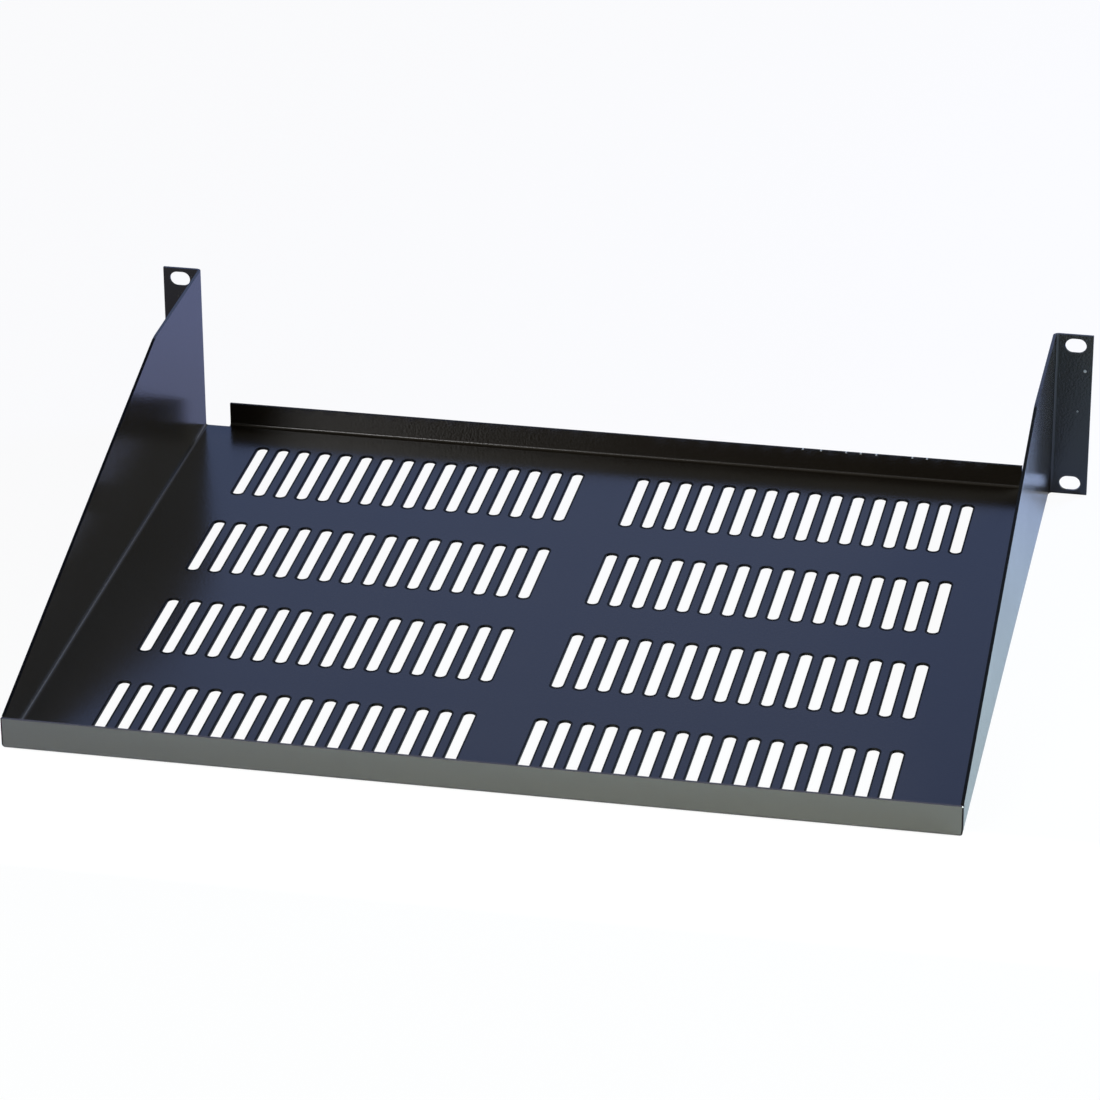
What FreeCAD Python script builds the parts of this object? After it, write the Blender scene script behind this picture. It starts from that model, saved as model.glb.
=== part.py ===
import FreeCAD, Part
import math
import os

# Cantilever rack shelf, two rack units high, folded from one sheet of steel.
#
# The blank is slotted and then bent at six lines. The side panels and the two lips turn up from
# the tray, and an ear turns outwards at the front end of each panel. The ears carry the whole
# shelf: they are screwed to the rack's front posts, and the tray reaches back with no support
# under its rear end.
#
# +Y is to the front of the rack, +Z is up, and +X is to the right as seen from the rear. The
# origin is in the middle of the four mounting holes, in the plane of the ears' rear faces, which
# bear on the posts.

# Sheet and bends, in millimetres like every size here
sheet_thickness = 1.5
bend_inner_radius = 1.5
bend_land = 0.3
relief_width = 0.4

# Mounting holes and the metal left around them
hole_span = 465.1
hole_rise = 76.2
hole_width = 7.9
hole_play = 2.8
hole_end_land = 2.0
hole_side_land = 3.4
hole_bend_land = 3.2

# Tray, lips and side panels
tray_depth = 364.0
tray_below_ears = 0.4
rear_lip_height = 15.9
front_lip_height = 13.6
front_lip_end_gap = 14.4
panel_level_length = 89.0
panel_knee_radius = 30.0
panel_to_rear_lip = 0.8
panel_over_rear_lip = 0.3

# Ventilation slots, in groups either side of a middle strip
slot_length = 57.5
slot_width = 5.7
slot_web = 5.42
slot_row_gap = 31.2
slot_middle_strip = 28.6
slot_side_strip = 33.0
slot_front_strip = 25.3
slot_rear_strip = 8.0
slot_end_flats = 8

# How far a cutting shape stands clear of the metal that it cuts
cut_margin = 1.0

# Sizes that follow from the ones above
bend_outer_radius = bend_inner_radius + sheet_thickness
relief_height = bend_outer_radius + relief_width
hole_length = hole_width + hole_play
ear_span = hole_span + hole_length + 2 * hole_side_land
ear_height = hole_rise + hole_width + 2 * hole_end_land
ear_bottom = -ear_height / 2
ear_top = ear_height / 2
tray_underside = ear_bottom - tray_below_ears
half_width = (hole_span - hole_length) / 2 - hole_bend_land - bend_inner_radius

# Stations along Y, from the front of the shelf to its rear
front_face = sheet_thickness
panel_front = front_face - bend_outer_radius - bend_land
tray_front = panel_front - relief_width
rear_face = -tray_depth
rear_bend_line = rear_face + bend_outer_radius
tray_rear = rear_bend_line + bend_land
panel_rear = rear_face + sheet_thickness + panel_to_rear_lip

along_x = FreeCAD.Vector(1, 0, 0)
along_y = FreeCAD.Vector(0, 1, 0)
along_z = FreeCAD.Vector(0, 0, 1)


def line(start, end):
    """Straight edge."""
    return Part.LineSegment(start, end).toShape()


def unit(start, end):
    """Direction from one point to another."""
    return (end - start).normalize()


def rounded_edges(points, radius):
    """Edges through the points, with a tangent arc of the radius at every inner corner."""
    edges = []
    start = points[0]
    for before, corner, after in zip(points, points[1:], points[2:]):
        back = unit(corner, before)
        ahead = unit(corner, after)
        half_angle = back.getAngle(ahead) / 2
        reach = radius / math.tan(half_angle)
        sagitta = radius / math.sin(half_angle) - radius
        arc_start = corner + back * reach
        arc_end = corner + ahead * reach
        arc_middle = corner + (back + ahead).normalize() * sagitta
        edges.append(line(start, arc_start))
        edges.append(Part.Arc(arc_start, arc_middle, arc_end).toShape())
        start = arc_end
    edges.append(line(start, points[-1]))
    return edges


def folded_section(points):
    """Section of bent sheet: the outer side runs through the points, with a bend at each corner.

    The corners are square, so the inner side is the outer one moved in by the sheet's thickness
    along both legs of each corner.
    """
    inside = [points[0] + unit(points[1], points[2]) * sheet_thickness]
    for before, corner, after in zip(points, points[1:], points[2:]):
        inward = unit(corner, before) + unit(corner, after)
        inside.append(corner + inward * sheet_thickness)
    inside.append(points[-1] + unit(points[-2], points[-3]) * sheet_thickness)
    outer_edges = rounded_edges(points, bend_outer_radius)
    inner_edges = rounded_edges(inside, bend_inner_radius)
    inner_edges.reverse()
    end_cap = line(points[-1], inside[-1])
    start_cap = line(inside[0], points[0])
    return Part.Face(Part.Wire(outer_edges + [end_cap] + inner_edges + [start_cap]))


def box_between(low, high):
    """Box from its lowest corner to its highest."""
    size = high - low
    return Part.makeBox(size.x, size.y, size.z, low)


def cross_outline():
    """Outer side of the tray and both panels, seen along Y, from one panel's top to the other's."""
    return [
        FreeCAD.Vector(-half_width, 0, ear_top),
        FreeCAD.Vector(-half_width, 0, tray_underside),
        FreeCAD.Vector(half_width, 0, tray_underside),
        FreeCAD.Vector(half_width, 0, ear_top),
    ]


def panel_outline():
    """Side view of the tray and panels: level top, rounded knee, long slope, relieved ends."""
    relief_top = tray_underside + relief_height
    panel_rear_top = tray_underside + rear_lip_height + panel_over_rear_lip
    top_edge = [
        FreeCAD.Vector(0, panel_rear, panel_rear_top),
        FreeCAD.Vector(0, -panel_level_length, ear_top),
        FreeCAD.Vector(0, panel_front, ear_top),
    ]
    lower_edge = [
        top_edge[-1],
        FreeCAD.Vector(0, panel_front, relief_top),
        FreeCAD.Vector(0, tray_front, relief_top),
        FreeCAD.Vector(0, tray_front, tray_underside),
        FreeCAD.Vector(0, tray_rear, tray_underside),
        FreeCAD.Vector(0, tray_rear, relief_top),
        FreeCAD.Vector(0, panel_rear, relief_top),
        top_edge[0],
    ]
    edges = rounded_edges(top_edge, panel_knee_radius)
    edges += [line(start, end) for start, end in zip(lower_edge, lower_edge[1:])]
    return Part.Face(Part.Wire(edges))


def make_tray_and_panels():
    """U section the length of the shelf, trimmed to the side view."""
    section = folded_section([point + along_y * rear_face for point in cross_outline()])
    channel = section.extrude(along_y * (front_face - rear_face))
    side_view = panel_outline()
    side_view.translate(along_x * -half_width)
    return channel.common(side_view.extrude(along_x * (2 * half_width)))


def make_rear_lip():
    """Lip across the full width behind the panels, its lower corners rounded like their bends."""
    lip_top = tray_underside + rear_lip_height
    section = folded_section([
        FreeCAD.Vector(-half_width, tray_rear, tray_underside),
        FreeCAD.Vector(-half_width, rear_face, tray_underside),
        FreeCAD.Vector(-half_width, rear_face, lip_top),
    ])
    lip = section.extrude(along_x * (2 * half_width))
    outline = cross_outline()
    rim = rounded_edges(outline, bend_outer_radius) + [line(outline[-1], outline[0])]
    end_shape = Part.Face(Part.Wire(rim))
    end_shape.translate(along_y * (rear_face - cut_margin))
    return lip.common(end_shape.extrude(along_y * (bend_outer_radius + bend_land + 2 * cut_margin)))


def make_corner_slit():
    """Relief at the rear right corner, between the side bend and the rear lip's bend."""
    low = FreeCAD.Vector(half_width - relief_height, rear_bend_line, tray_underside - cut_margin)
    high = FreeCAD.Vector(
        half_width + cut_margin,
        tray_rear + relief_width,
        tray_underside + relief_height,
    )
    return box_between(low, high)


def make_front_lip():
    """Shorter lip between the ears, with an open notch at each end of it."""
    half_length = half_width - front_lip_end_gap
    section = folded_section([
        FreeCAD.Vector(-half_length, tray_front, tray_underside),
        FreeCAD.Vector(-half_length, front_face, tray_underside),
        FreeCAD.Vector(-half_length, front_face, tray_underside + front_lip_height),
    ])
    return section.extrude(along_x * (2 * half_length))


def make_hole_cutter(middle):
    """Mounting hole, wider than high with round ends, pushed through an ear."""
    radius = hole_width / 2
    straight = along_x * (hole_play / 2)
    side = along_z * radius
    tip = along_x * (hole_length / 2)
    lower_left = middle - straight - side
    lower_right = middle + straight - side
    upper_left = middle - straight + side
    upper_right = middle + straight + side
    edges = [
        line(lower_left, lower_right),
        Part.Arc(lower_right, middle + tip, upper_right).toShape(),
        line(upper_right, upper_left),
        Part.Arc(upper_left, middle - tip, lower_left).toShape(),
    ]
    return Part.Face(Part.Wire(edges)).extrude(along_y * (sheet_thickness + 2 * cut_margin))


def make_ear():
    """Right ear: it turns outwards from its panel and has two mounting holes wider than high."""
    section = folded_section([
        FreeCAD.Vector(half_width - sheet_thickness, panel_front, ear_bottom),
        FreeCAD.Vector(half_width - sheet_thickness, front_face, ear_bottom),
        FreeCAD.Vector(ear_span / 2, front_face, ear_bottom),
    ])
    ear = section.extrude(along_z * ear_height)
    holes = []
    for height in (-hole_rise / 2, hole_rise / 2):
        holes.append(make_hole_cutter(FreeCAD.Vector(hole_span / 2, -cut_margin, height)))
    return ear.cut(holes)


def count_that_fits(room, item, gap):
    """How many items of one size, with a gap between each two, fit in the room."""
    return int((room + gap) / (item + gap))


def make_slot_cutter(middle):
    """Ventilation slot, longer to the rear than across, pushed through the tray.

    Its round ends are drawn as short flats, because a pattern of this many slots with true arcs
    would make the shelf many times heavier to draw.
    """
    radius = slot_width / 2
    end_centre = along_y * (slot_length / 2 - radius)
    points = []
    for end, first_angle in ((end_centre, 0), (-end_centre, math.pi)):
        for flat in range(slot_end_flats + 1):
            angle = first_angle + math.pi * flat / slot_end_flats
            spoke = along_x * math.cos(angle) + along_y * math.sin(angle)
            points.append(middle + end + spoke * radius)
    outline = Part.makePolygon(points + points[:1])
    return Part.Face(outline).extrude(along_z * (sheet_thickness + 2 * cut_margin))


def make_ventilation_cutters():
    """Rows of slots that run front to back, in a left and a right group in every row."""
    width_room = half_width - slot_side_strip - slot_middle_strip / 2
    depth_room = front_face - slot_front_strip - (rear_face + slot_rear_strip)
    column_count = count_that_fits(width_room, slot_width, slot_web)
    row_count = count_that_fits(depth_room, slot_length, slot_row_gap)
    first_x = (slot_middle_strip + slot_width) / 2
    first_y = front_face - slot_front_strip - slot_length / 2
    low_z = tray_underside - cut_margin
    cutters = []
    for row in range(row_count):
        y = first_y - row * (slot_length + slot_row_gap)
        for column in range(column_count):
            x = first_x + column * (slot_width + slot_web)
            for side in (-1, 1):
                cutters.append(make_slot_cutter(FreeCAD.Vector(side * x, y, low_z)))
    return cutters


def make_shelf():
    """Every fold joined into the one solid that the bent sheet is."""
    right_ear = make_ear()
    left_ear = right_ear.mirror(FreeCAD.Vector(), along_x)
    folds = [make_rear_lip(), make_front_lip(), left_ear, right_ear]
    shelf = make_tray_and_panels().fuse(folds).removeSplitter()
    right_slit = make_corner_slit()
    left_slit = right_slit.mirror(FreeCAD.Vector(), along_x)
    return shelf.cut([left_slit, right_slit] + make_ventilation_cutters()).Solids[0]


os.makedirs("parts", exist_ok=True)
make_shelf().exportStep("parts/shelf.step")
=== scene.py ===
import math

import bpy
import numpy as np
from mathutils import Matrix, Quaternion, Vector


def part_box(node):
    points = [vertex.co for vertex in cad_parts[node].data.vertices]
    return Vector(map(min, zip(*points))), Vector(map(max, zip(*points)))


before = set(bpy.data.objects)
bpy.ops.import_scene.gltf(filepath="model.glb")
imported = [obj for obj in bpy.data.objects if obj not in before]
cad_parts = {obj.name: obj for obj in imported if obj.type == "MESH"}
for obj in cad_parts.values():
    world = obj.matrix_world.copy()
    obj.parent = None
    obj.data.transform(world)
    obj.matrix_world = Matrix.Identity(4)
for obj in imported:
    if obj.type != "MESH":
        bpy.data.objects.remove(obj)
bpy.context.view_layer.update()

MM = 0.001

# The camera stands behind the rack, a little to the right, and looks down at the shelf's rear end.
# Its place, its aim and how far it sees are in metres.
CAMERA_PLACE = Vector((0.42258, -2.29093, 1.04623))
CAMERA_AIM = Vector((0.00038, -0.18802, -0.00654))
CAMERA_ROLL_DEG = -0.258
CAMERA_LENS_MM = 162.51
CAMERA_SENSOR_MM = 36.0
CAMERA_SEES_TO = 100.0

# Paper on the floor, in metres. Its painted light and shade change with Y plus the skew times X.
FLOOR_REACH = 12.0
PAINTED_LIGHT_SKEW = -0.5
PAINTED_BLUE_BEGINS = -0.5
PAINTED_BLUE_WHOLE = 0.13

# How much plain white is mixed into the paper for the camera, and for what the coat mirrors
WHITE_FOR_CAMERA = 0.95
WHITE_IN_MIRRORS = 0.2

# Parts of the room by the direction to them. Its white ends and its walls are whole at two
# heights. The walls' blue begins and is whole along Y beyond the shelf, and along X at its sides.
WHITE_TOP = 0.12
WALLS_WHOLE = 0.2
BEYOND_BEGINS = 0.2
BEYOND_WHOLE = 0.65
LEFT_BEGINS = 0.14
LEFT_WHOLE = -0.04
RIGHT_BEGINS = 0.3
RIGHT_WHOLE = 0.4

# Sizes of the shelf in millimetres, for the marks in its coat that follow edges and slots
TRAY_TOP = -42.95
CLEAR_OF_BENDS = 3.0
FRONT_LIP_TOP = -30.85
FRONT_LIP_REAR = 0.0
REAR_LIP_INSIDE = -362.5
EAR_SIDE = 241.3
EAR_TOP = 44.05
CORNER_ACROSS = 219.5
CORNER_HEIGHT = -41.45
CORNER_RADIUS = 3.0
SLOT_LENGTH = 57.5
SLOT_WIDTH = 5.7
SLOT_PITCH = 11.12
SLOT_FIRST = 17.15
SLOTS_IN_GROUP = 16
SLOT_LAST = SLOT_FIRST + (SLOTS_IN_GROUP - 1) * SLOT_PITCH
SLOT_ROW_FIRST = -52.55
ROW_PITCH = 88.7

# How far off one of those sizes a point still counts as being at it, in millimetres
TRAY_PLAY = 0.4
LEVEL_TOP_PLAY = 0.3
EAR_SIDE_PLAY = 0.05
LIP_TOP_PLAY = 0.45
LIP_SIDE_PLAY = 0.1

# Least upward part of a normal that makes a face a top one
FACES_UP = 0.2

# The rims of each row lie a little behind its slots, so that they are widest at the rear ends
# Their darker colour is painted shade, on top of the thin coat at the punched edges
RIM_SHIFT = 0.95
RIM_ROW_FIRST = SLOT_ROW_FIRST - RIM_SHIFT

# Marks in the coat, in millimetres
SLOT_RIM_WHOLE = 0.6
SLOT_RIM = 1.1
LIP_END_RIM = 0.6
GLOSS_PATCH = 60.0
PEEL_SIZE = 1.3
PEEL_HEIGHT = 0.065
NICK_SPACING = 11.0
NICK_WIDTH = 0.9
NICKED_MIDDLE = 130.0
NICKED_REACH = 45.0

# Pale round spots in the coat by centre and radius, and the share of the radius that is fully pale
PALE_SPOTS = [
    ((237.67, 0.0, 24.63), 1.0),
    ((234.85, 0.0, 2.27), 0.6),
    ((222.2, -363.9, -28.55), 0.6),
]
PALE_SPOT_CORE = 0.6

# Roughness of the coat where it is glossiest and dullest, and of sheared and punched edges
COAT_GLOSSIEST = 0.15
COAT_DULLEST = 0.23
EDGE_ROUGHNESS = 0.55


def hex_colour(code):
    """Linear colour of an sRGB hex code, with full alpha."""
    channels = []
    for start in (1, 3, 5):
        value = int(code[start:start + 2], 16) / 255
        channels.append(value / 12.92 if value <= 0.04045 else ((value + 0.055) / 1.055) ** 2.4)
    return (*channels, 1.0)


def add_node(tree, kind, settings=(), inputs=()):
    """Adds a node with its own settings; an input takes a value or another node's output."""
    node = tree.nodes.new(kind)
    for name, value in dict(settings).items():
        setattr(node, name, value)
    for name, value in dict(inputs).items():
        if isinstance(value, bpy.types.NodeSocket):
            tree.links.new(value, node.inputs[name])
        else:
            node.inputs[name].default_value = value
    return node


def empty_tree(owner):
    """The owner's node tree with nothing in it."""
    owner.use_nodes = True
    owner.node_tree.nodes.clear()
    return owner.node_tree


def slot_distance(tree, across, along):
    """Distance in millimetres to the nearest ventilation slot's outline, below nought inside it.

    The outline is taken a little behind the slot, as the rims are. The slots repeat over the tray,
    so both coordinates are folded back and forth onto one slot. What is left of them is measured
    from the slot's centre line, and the slot's radius comes off.
    """
    past_first_slot = add_node(
        tree, "ShaderNodeMath", {"operation": "SUBTRACT"}, {0: across, 1: SLOT_FIRST},
    )
    across_one = add_node(
        tree, "ShaderNodeMath", {"operation": "PINGPONG"},
        {0: past_first_slot.outputs[0], 1: SLOT_PITCH / 2},
    )
    past_first_row = add_node(
        tree, "ShaderNodeMath", {"operation": "SUBTRACT"}, {0: along, 1: RIM_ROW_FIRST},
    )
    along_one = add_node(
        tree, "ShaderNodeMath", {"operation": "PINGPONG"},
        {0: past_first_row.outputs[0], 1: ROW_PITCH / 2},
    )
    past_line = add_node(
        tree, "ShaderNodeMath", {"operation": "SUBTRACT"},
        {0: along_one.outputs[0], 1: (SLOT_LENGTH - SLOT_WIDTH) / 2},
    )
    past_end = add_node(
        tree, "ShaderNodeMath", {"operation": "MAXIMUM"}, {0: past_line.outputs[0], 1: 0.0},
    )
    offset = add_node(
        tree, "ShaderNodeCombineXYZ", inputs={"X": across_one.outputs[0], "Y": past_end.outputs[0]},
    )
    to_line = add_node(
        tree, "ShaderNodeVectorMath", {"operation": "LENGTH"}, {0: offset.outputs[0]},
    )
    return add_node(
        tree, "ShaderNodeMath", {"operation": "SUBTRACT"},
        {0: to_line.outputs["Value"], 1: SLOT_WIDTH / 2},
    ).outputs[0]


def punched_rims(tree, across, along, height):
    """Mask of the punched slots' rims and walls: near an outline, in a group, and in the tray."""
    distance = slot_distance(tree, across, along)
    close = add_node(
        tree, "ShaderNodeMapRange", {"interpolation_type": "SMOOTHSTEP"},
        {"Value": distance, "From Min": SLOT_RIM_WHOLE, "From Max": SLOT_RIM,
         "To Min": 1.0, "To Max": 0.0},
    )
    in_groups = add_node(
        tree, "ShaderNodeMath", {"operation": "COMPARE"},
        {0: across, 1: (SLOT_FIRST + SLOT_LAST) / 2, 2: (SLOT_LAST - SLOT_FIRST + SLOT_PITCH) / 2},
    )
    in_tray = add_node(
        tree, "ShaderNodeMath", {"operation": "LESS_THAN"}, {0: height, 1: TRAY_TOP + TRAY_PLAY},
    )
    close_to_slots = add_node(
        tree, "ShaderNodeMath", {"operation": "MULTIPLY"},
        {0: close.outputs[0], 1: in_groups.outputs[0]},
    )
    return add_node(
        tree, "ShaderNodeMath", {"operation": "MULTIPLY"},
        {0: close_to_slots.outputs[0], 1: in_tray.outputs[0]},
    ).outputs[0]


def sloping_tops(tree, upward, height, before_rear_lip):
    """Mask of the panels' sloping tops and the front lip's top.

    They face up, lie above the bends and below the level tops, and are not on the rear lip. Some
    walls of the ears' slots do so too and come with them.
    """
    faces_up = add_node(
        tree, "ShaderNodeMath", {"operation": "GREATER_THAN"}, {0: upward, 1: FACES_UP},
    )
    over_bends = add_node(
        tree, "ShaderNodeMath", {"operation": "GREATER_THAN"},
        {0: height, 1: TRAY_TOP + CLEAR_OF_BENDS},
    )
    below_level_tops = add_node(
        tree, "ShaderNodeMath", {"operation": "LESS_THAN"},
        {0: height, 1: EAR_TOP - LEVEL_TOP_PLAY},
    )
    top_faces = add_node(
        tree, "ShaderNodeMath", {"operation": "MULTIPLY"},
        {0: faces_up.outputs[0], 1: over_bends.outputs[0]},
    )
    lower_top_faces = add_node(
        tree, "ShaderNodeMath", {"operation": "MULTIPLY"},
        {0: top_faces.outputs[0], 1: below_level_tops.outputs[0]},
    )
    return add_node(
        tree, "ShaderNodeMath", {"operation": "MULTIPLY"},
        {0: lower_top_faces.outputs[0], 1: before_rear_lip},
    ).outputs[0]


def rear_lip_ends(tree, across, height, before_rear_lip):
    """Mask of a thin line round each end of the rear lip, along its side and its rounded corner.

    It is what lies further from the lower corner's centre than the corner's radius less the line's
    width, where a point above that centre counts only its distance across.
    """
    past_corner = add_node(
        tree, "ShaderNodeMath", {"operation": "SUBTRACT"}, {0: across, 1: CORNER_ACROSS},
    )
    below_corner = add_node(
        tree, "ShaderNodeMath", {"operation": "SUBTRACT"}, {0: CORNER_HEIGHT, 1: height},
    )
    below_only = add_node(
        tree, "ShaderNodeMath", {"operation": "MAXIMUM"}, {0: below_corner.outputs[0], 1: 0.0},
    )
    offset = add_node(
        tree, "ShaderNodeCombineXYZ",
        inputs={"X": past_corner.outputs[0], "Y": below_only.outputs[0]},
    )
    from_corner = add_node(
        tree, "ShaderNodeVectorMath", {"operation": "LENGTH"}, {0: offset.outputs[0]},
    )
    on_rim = add_node(
        tree, "ShaderNodeMath", {"operation": "GREATER_THAN"},
        {0: from_corner.outputs["Value"], 1: CORNER_RADIUS - LIP_END_RIM},
    )
    past_centre = add_node(
        tree, "ShaderNodeMath", {"operation": "GREATER_THAN"}, {0: past_corner.outputs[0], 1: 0.0},
    )
    on_lip_end = add_node(
        tree, "ShaderNodeMath", {"operation": "GREATER_THAN"},
        {0: past_centre.outputs[0], 1: before_rear_lip},
    )
    return add_node(
        tree, "ShaderNodeMath", {"operation": "MULTIPLY"},
        {0: on_rim.outputs[0], 1: on_lip_end.outputs[0]},
    ).outputs[0]


def sheared_edges(tree, upward, across, along, height):
    """Mask of the blank's sheared edges: sloping tops, the ears' outer sides, rear lip's ends."""
    before_rear_lip = add_node(
        tree, "ShaderNodeMath", {"operation": "GREATER_THAN"},
        {0: along, 1: REAR_LIP_INSIDE + LIP_SIDE_PLAY},
    ).outputs[0]
    tops = sloping_tops(tree, upward, height, before_rear_lip)
    lip_ends = rear_lip_ends(tree, across, height, before_rear_lip)
    ear_side = add_node(
        tree, "ShaderNodeMath", {"operation": "GREATER_THAN"},
        {0: across, 1: EAR_SIDE - EAR_SIDE_PLAY},
    )
    outer_ends = add_node(
        tree, "ShaderNodeMath", {"operation": "MAXIMUM"}, {0: ear_side.outputs[0], 1: lip_ends},
    )
    return add_node(
        tree, "ShaderNodeMath", {"operation": "MAXIMUM"}, {0: tops, 1: outer_ends.outputs[0]},
    ).outputs[0]


def front_lip_nicks(tree, sideways, along, height):
    """Mask of short nicks at uneven spacing along the top of the front lip's right part."""
    in_spacings = add_node(
        tree, "ShaderNodeMath", {"operation": "DIVIDE"}, {0: sideways, 1: NICK_SPACING},
    )
    lip_run = add_node(
        tree, "ShaderNodeTexVoronoi", {"voronoi_dimensions": "1D"},
        {"W": in_spacings.outputs[0], "Scale": 1.0},
    )
    short_run = add_node(
        tree, "ShaderNodeMath", {"operation": "LESS_THAN"},
        {0: lip_run.outputs["Distance"], 1: NICK_WIDTH / 2 / NICK_SPACING},
    )
    lip_top = add_node(
        tree, "ShaderNodeMath", {"operation": "COMPARE"},
        {0: height, 1: FRONT_LIP_TOP, 2: LIP_TOP_PLAY},
    )
    at_front = add_node(
        tree, "ShaderNodeMath", {"operation": "GREATER_THAN"},
        {0: along, 1: FRONT_LIP_REAR - LIP_SIDE_PLAY},
    )
    right_part = add_node(
        tree, "ShaderNodeMath", {"operation": "COMPARE"},
        {0: sideways, 1: NICKED_MIDDLE, 2: NICKED_REACH},
    )
    on_front_lip = add_node(
        tree, "ShaderNodeMath", {"operation": "MULTIPLY"},
        {0: lip_top.outputs[0], 1: at_front.outputs[0]},
    )
    nicks = add_node(
        tree, "ShaderNodeMath", {"operation": "MULTIPLY"},
        {0: short_run.outputs[0], 1: right_part.outputs[0]},
    )
    return add_node(
        tree, "ShaderNodeMath", {"operation": "MULTIPLY"},
        {0: on_front_lip.outputs[0], 1: nicks.outputs[0]},
    ).outputs[0]


def with_pale_spots(tree, spot, bare):
    """The mask of bare metal with a soft round pale spot added for each listed spot."""
    for centre, radius in PALE_SPOTS:
        away = add_node(
            tree, "ShaderNodeVectorMath", {"operation": "DISTANCE"}, {0: spot, 1: centre},
        )
        pale_spot = add_node(
            tree, "ShaderNodeMapRange", {"interpolation_type": "SMOOTHSTEP"},
            {"Value": away.outputs["Value"], "From Min": radius * PALE_SPOT_CORE, "From Max": radius,
             "To Min": 1.0, "To Max": 0.0},
        )
        bare = add_node(
            tree, "ShaderNodeMath", {"operation": "MAXIMUM"}, {0: bare, 1: pale_spot.outputs[0]},
        ).outputs[0]
    return bare


def make_powder_coat():
    """Black polyester powder coat, sprayed and baked on steel.

    To the eye it is near black where it mirrors something dark, and slate blue where it mirrors a
    pale room at a low angle. The film levels out as it melts, which leaves a soft orange peel a
    millimetre or two across, and its gloss varies a little from place to place. On sheared and
    punched edges the melt draws back, so the coat there is thin and the dark steel dulls it, and
    their darker colour is painted shade as well, widest at the slots' rear ends. A few edges are
    nicked down to pale bare metal, and a few pale round spots lie on the right ear and a lip
    corner.
    """
    material = bpy.data.materials.new("black_powder_coat")
    tree = empty_tree(material)
    coordinates = add_node(tree, "ShaderNodeTexCoord")
    spot = add_node(
        tree, "ShaderNodeVectorMath", {"operation": "SCALE"},
        {0: coordinates.outputs["Object"], "Scale": 1 / MM},
    ).outputs[0]
    place = add_node(tree, "ShaderNodeSeparateXYZ", inputs={0: spot})
    facing = add_node(tree, "ShaderNodeSeparateXYZ", inputs={0: coordinates.outputs["Normal"]})
    sideways = place.outputs["X"]
    along = place.outputs["Y"]
    height = place.outputs["Z"]
    across = add_node(
        tree, "ShaderNodeMath", {"operation": "ABSOLUTE"}, {0: sideways},
    ).outputs[0]

    punched = punched_rims(tree, across, along, height)
    sheared = sheared_edges(tree, facing.outputs["Z"], across, along, height)
    edge = add_node(
        tree, "ShaderNodeMath", {"operation": "MAXIMUM"}, {0: punched, 1: sheared},
    ).outputs[0]
    nicks = front_lip_nicks(tree, sideways, along, height)
    bare = with_pale_spots(tree, spot, nicks)

    drift = add_node(
        tree, "ShaderNodeTexNoise",
        inputs={"Vector": spot, "Scale": 1 / GLOSS_PATCH, "Detail": 2.0},
    )
    coat_colour = add_node(
        tree, "ShaderNodeMix", {"data_type": "RGBA"},
        {0: drift.outputs["Fac"], 6: hex_colour("#18140f"), 7: hex_colour("#1d1913")},
    )
    # Sheared and punched edges: thin coat over steel, and a darker colour that is painted shade
    edge_colour = add_node(
        tree, "ShaderNodeMix", {"data_type": "RGBA"},
        {0: edge, 6: coat_colour.outputs[2], 7: hex_colour("#100f0e")},
    )
    colour = add_node(
        tree, "ShaderNodeMix", {"data_type": "RGBA"},
        {0: bare, 6: edge_colour.outputs[2], 7: hex_colour("#a8a9a6")},
    )

    peel = add_node(
        tree, "ShaderNodeTexNoise",
        inputs={"Vector": spot, "Scale": 1 / PEEL_SIZE, "Detail": 1.5, "Roughness": 0.5},
    )
    peel_height = add_node(
        tree, "ShaderNodeMath", {"operation": "MULTIPLY"}, {0: peel.outputs["Fac"], 1: PEEL_HEIGHT},
    )
    bump = add_node(
        tree, "ShaderNodeBump",
        inputs={"Height": peel_height.outputs[0], "Strength": 1.0, "Distance": MM},
    )

    gloss = add_node(
        tree, "ShaderNodeMapRange",
        inputs={"Value": drift.outputs["Fac"], "To Min": COAT_GLOSSIEST, "To Max": COAT_DULLEST},
    )
    roughness = add_node(
        tree, "ShaderNodeMix", {"data_type": "FLOAT"},
        {0: edge, 2: gloss.outputs[0], 3: EDGE_ROUGHNESS},
    )

    shader = add_node(
        tree, "ShaderNodeBsdfPrincipled",
        inputs={
            "Base Color": colour.outputs[2],
            "Metallic": edge,
            "Roughness": roughness.outputs[0],
            "IOR": 1.5,
            "Normal": bump.outputs["Normal"],
        },
    )
    add_node(tree, "ShaderNodeOutputMaterial", inputs={"Surface": shader.outputs["BSDF"]})
    return material


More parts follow.
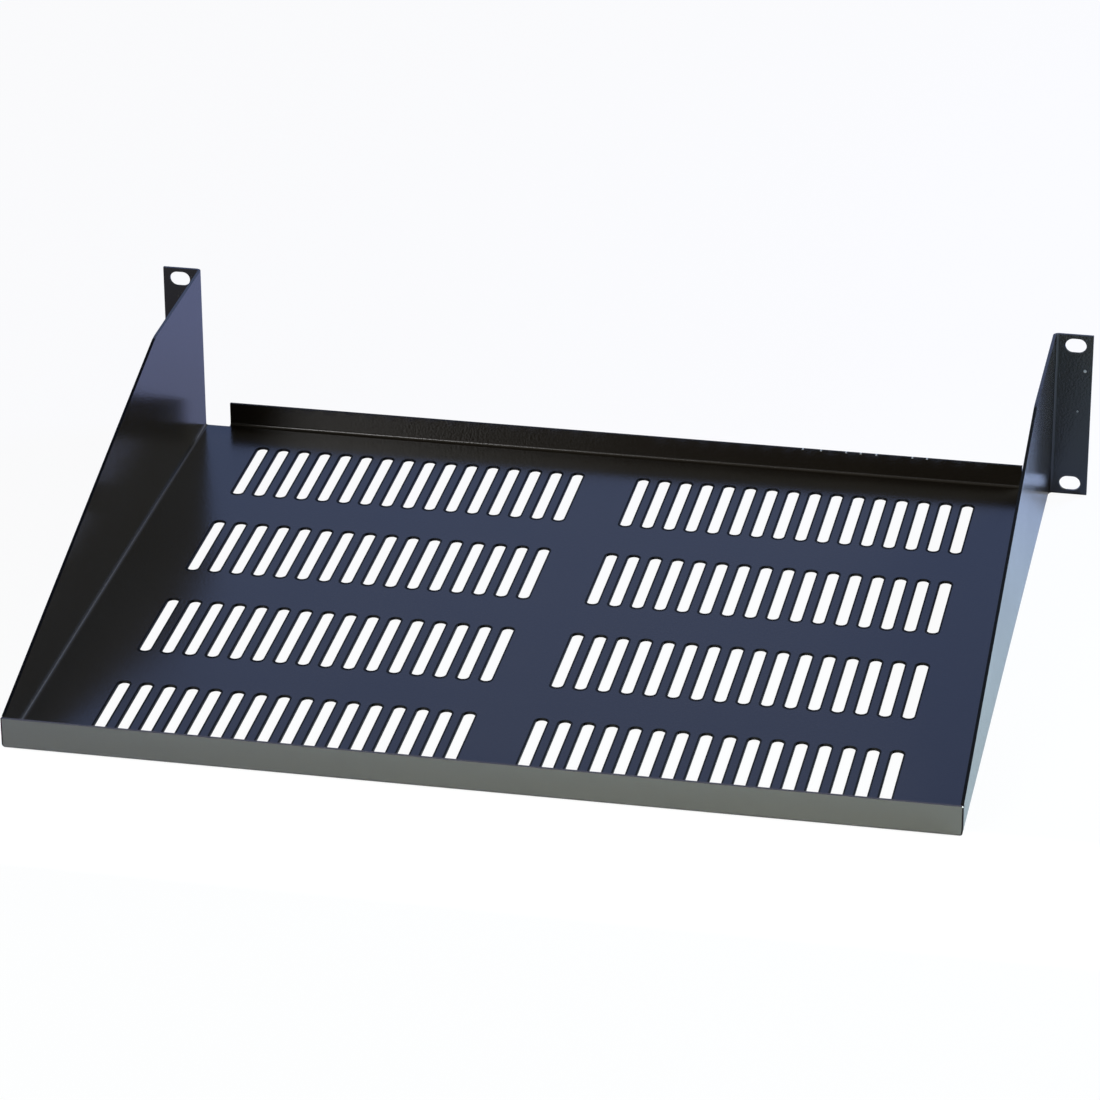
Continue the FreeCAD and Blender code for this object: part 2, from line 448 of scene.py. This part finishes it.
def make_graded_paper():
    """Matt studio paper, coloured near white on the camera's side and a cool blue beyond: painted
    light.

    The blue starts nearer on the left, as painted shade. The camera sees the paper as white with a
    little of the shadow, and the coat mirrors more of the painted light and shade.
    """
    material = bpy.data.materials.new("graded_paper")
    tree = empty_tree(material)
    coordinates = add_node(tree, "ShaderNodeTexCoord")
    place = add_node(tree, "ShaderNodeSeparateXYZ", inputs={0: coordinates.outputs["Object"]})
    skewed = add_node(
        tree, "ShaderNodeMath", {"operation": "MULTIPLY_ADD"},
        {0: place.outputs["X"], 1: PAINTED_LIGHT_SKEW, 2: place.outputs["Y"]},
    )
    blue_share = add_node(
        tree, "ShaderNodeMapRange", {"interpolation_type": "SMOOTHSTEP"},
        {"Value": skewed.outputs[0], "From Min": PAINTED_BLUE_BEGINS, "From Max": PAINTED_BLUE_WHOLE},
    )
    # Painted light and shade for the coat to mirror: near white in front, cool blue beyond, nearer
    # on the left
    painted_light_colour = add_node(
        tree, "ShaderNodeMix", {"data_type": "RGBA"},
        {0: blue_share.outputs[0], 6: hex_colour("#e4f1ee"), 7: hex_colour("#7480bd")},
    )
    paper = add_node(
        tree, "ShaderNodeBsdfDiffuse", inputs={"Color": painted_light_colour.outputs[2]},
    )
    glow = add_node(
        tree, "ShaderNodeEmission", inputs={"Color": hex_colour("#ffffff"), "Strength": 1.0},
    )
    path = add_node(tree, "ShaderNodeLightPath")
    mirrored = add_node(
        tree, "ShaderNodeMath", {"operation": "MAXIMUM"},
        {0: path.outputs["Is Glossy Ray"], 1: path.outputs["Is Transmission Ray"]},
    )
    mirrored_share = add_node(
        tree, "ShaderNodeMath", {"operation": "MULTIPLY"},
        {0: mirrored.outputs[0], 1: WHITE_IN_MIRRORS},
    )
    direct_share = add_node(
        tree, "ShaderNodeMath", {"operation": "MULTIPLY"},
        {0: path.outputs["Is Camera Ray"], 1: WHITE_FOR_CAMERA},
    )
    share = add_node(
        tree, "ShaderNodeMath", {"operation": "MAXIMUM"},
        {0: mirrored_share.outputs[0], 1: direct_share.outputs[0]},
    )
    mixed = add_node(
        tree, "ShaderNodeMixShader",
        inputs={0: share.outputs[0], 1: paper.outputs[0], 2: glow.outputs[0]},
    )
    add_node(tree, "ShaderNodeOutputMaterial", inputs={"Surface": mixed.outputs[0]})
    return material


def make_floor(height):
    """Flat square of paper that the tray lies on."""
    corners = np.array([[-1, -1, 0], [1, -1, 0], [1, 1, 0], [-1, 1, 0]], float) * FLOOR_REACH
    corners[:, 2] = height
    mesh = bpy.data.meshes.new("floor")
    mesh.from_pydata(corners.tolist(), [], [(0, 1, 2, 3)])
    mesh.materials.append(make_graded_paper())
    floor = bpy.data.objects.new("floor", mesh)
    bpy.context.scene.collection.objects.link(floor)


def make_camera():
    """Long lens aimed at the middle of the shelf."""
    data = bpy.data.cameras.new("camera")
    data.sensor_width = CAMERA_SENSOR_MM
    data.lens = CAMERA_LENS_MM
    data.clip_end = CAMERA_SEES_TO
    camera = bpy.data.objects.new("camera", data)
    camera.location = CAMERA_PLACE
    level = (CAMERA_AIM - CAMERA_PLACE).to_track_quat("-Z", "Y")
    roll = Quaternion((0, 0, 1), math.radians(CAMERA_ROLL_DEG))
    camera.rotation_mode = "QUATERNION"
    camera.rotation_quaternion = level @ roll
    bpy.context.scene.collection.objects.link(camera)
    bpy.context.scene.camera = camera


def add_softbox(name, place, aim, width, height, power, colour="#ffffff", spread_deg=180.0):
    """Rectangular studio light turned towards a point."""
    data = bpy.data.lights.new(name, "AREA")
    data.shape = "RECTANGLE"
    data.size = width
    data.size_y = height
    data.energy = power
    data.color = hex_colour(colour)[:3]
    data.spread = math.radians(spread_deg)
    light = bpy.data.objects.new(name, data)
    light.location = place
    light.rotation_mode = "QUATERNION"
    light.rotation_quaternion = (Vector(aim) - Vector(place)).to_track_quat("-Z", "Y")
    bpy.context.scene.collection.objects.link(light)


def make_room():
    """Studio room: white from below to a little over the eye line, and tinted walls above that.

    Seen from the camera, the walls are blue beyond the shelf to the left and far to the right, and
    a warm grey elsewhere.
    """
    world = bpy.data.worlds.new("room")
    bpy.context.scene.world = world
    tree = empty_tree(world)
    coordinates = add_node(tree, "ShaderNodeTexCoord")
    direction = add_node(
        tree, "ShaderNodeSeparateXYZ", inputs={0: coordinates.outputs["Generated"]},
    )
    beyond = add_node(
        tree, "ShaderNodeMapRange", {"interpolation_type": "SMOOTHSTEP"},
        {"Value": direction.outputs["Y"], "From Min": BEYOND_BEGINS, "From Max": BEYOND_WHOLE},
    )
    to_the_left = add_node(
        tree, "ShaderNodeMapRange", {"interpolation_type": "SMOOTHSTEP"},
        {"Value": direction.outputs["X"], "From Min": LEFT_BEGINS, "From Max": LEFT_WHOLE},
    )
    to_the_right = add_node(
        tree, "ShaderNodeMapRange", {"interpolation_type": "SMOOTHSTEP"},
        {"Value": direction.outputs["X"], "From Min": RIGHT_BEGINS, "From Max": RIGHT_WHOLE},
    )
    aside = add_node(
        tree, "ShaderNodeMath", {"operation": "MAXIMUM"},
        {0: to_the_left.outputs[0], 1: to_the_right.outputs[0]},
    )
    blue_wall = add_node(
        tree, "ShaderNodeMath", {"operation": "MULTIPLY"},
        {0: beyond.outputs[0], 1: aside.outputs[0]},
    )
    wall_colour = add_node(
        tree, "ShaderNodeMix", {"data_type": "RGBA"},
        {0: blue_wall.outputs[0], 6: hex_colour("#8e8a7f"), 7: hex_colour("#97aee8")},
    )
    over_eye_line = add_node(
        tree, "ShaderNodeMapRange", {"interpolation_type": "SMOOTHSTEP"},
        {"Value": direction.outputs["Z"], "From Min": WHITE_TOP, "From Max": WALLS_WHOLE},
    )
    room_colour = add_node(
        tree, "ShaderNodeMix", {"data_type": "RGBA"},
        {0: over_eye_line.outputs[0], 6: hex_colour("#ffffff"), 7: wall_colour.outputs[2]},
    )
    room = add_node(
        tree, "ShaderNodeBackground", inputs={"Color": room_colour.outputs[2], "Strength": 1.0},
    )
    add_node(tree, "ShaderNodeOutputWorld", inputs={"Surface": room.outputs[0]})


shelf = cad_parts["shelf"]
powder_coat = make_powder_coat()
for material_slot in shelf.material_slots:
    material_slot.material = powder_coat

lowest_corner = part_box("shelf")[0]
make_floor(lowest_corner.z)
make_room()

# Main light, left of the camera and a little higher
add_softbox(
    "left", place=(-1.2, -2.2, 1.3), aim=(0.0, -0.18, 0.0), width=1.2, height=1.2, power=40.0,
)
# Cool light beyond the shelf on its right, for the outer side of the right panel
add_softbox(
    "right", place=(0.75, 0.45, 0.55), aim=(0.15, 0.0, -0.04), width=0.5, height=0.5, power=21.0,
    colour="#d4eaff",
)
# Narrow warm light turned down at the paper right behind the rear lip, for that lip
add_softbox(
    "lip_strip", place=(0.12, -0.412, -0.014), aim=(0.12, -0.412, -0.044), width=0.8,
    height=0.1, power=0.95, colour="#fffdf6", spread_deg=30.0,
)

make_camera()
bpy.context.scene.view_settings.view_transform = "Standard"
